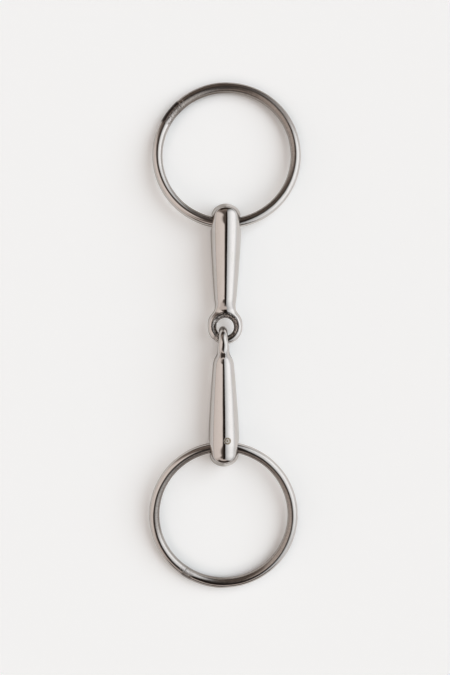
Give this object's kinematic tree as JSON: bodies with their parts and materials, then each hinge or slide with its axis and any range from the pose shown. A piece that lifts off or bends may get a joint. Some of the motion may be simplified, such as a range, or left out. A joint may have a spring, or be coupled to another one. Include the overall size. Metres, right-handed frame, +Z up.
{
  "type": "loose ring snaffle bit",
  "caption": "Loose ring snaffle bit: a jointed mouthpiece of tapered cannons linked eye to eye, with a large free-running cheek ring through each butt.",
  "frame": {"origin": "on the surface that the bit lies on, midway between the two ring holes", "axes": "+Y along the mouthpiece towards the left ring, +X across, +Z up from the surface"},
  "size_m": [0.087, 0.2976, 0.0204],
  "materials": {
    "cannon_steel": "polished",
    "ring_steel": "polished, with fine lengthwise rolling lines",
    "weld_steel": "ground back after welding"
  },
  "bodies": {
    "left_arm": {"left_cannon": "cannon_steel", "left_eye_weld": "weld_steel"},
    "right_arm": {"right_cannon": "cannon_steel"},
    "left_loop": {"left_ring": "ring_steel", "left_ring_weld": "weld_steel"},
    "right_loop": {"right_ring": "ring_steel", "right_ring_weld": "weld_steel"}
  },
  "joints": [
    {"name": "mouth_fold", "type": "hinge", "parent": "left_arm", "child": "right_arm", "pos_m": [0, -0.0028, 0.009], "axis": [1, 0, 0], "range_deg": [-65, 65]},
    {"name": "left_ring_swing", "type": "hinge", "parent": "left_arm", "child": "left_loop", "pos_m": [0, 0.0655, 0.009], "axis": [1, 0, 0], "range_deg": [-90, 98]},
    {"name": "right_ring_swing", "type": "hinge", "parent": "right_arm", "child": "right_loop", "pos_m": [0, -0.0655, 0.009], "axis": [1, 0, 0], "range_deg": [-98, 90]}
  ]
}
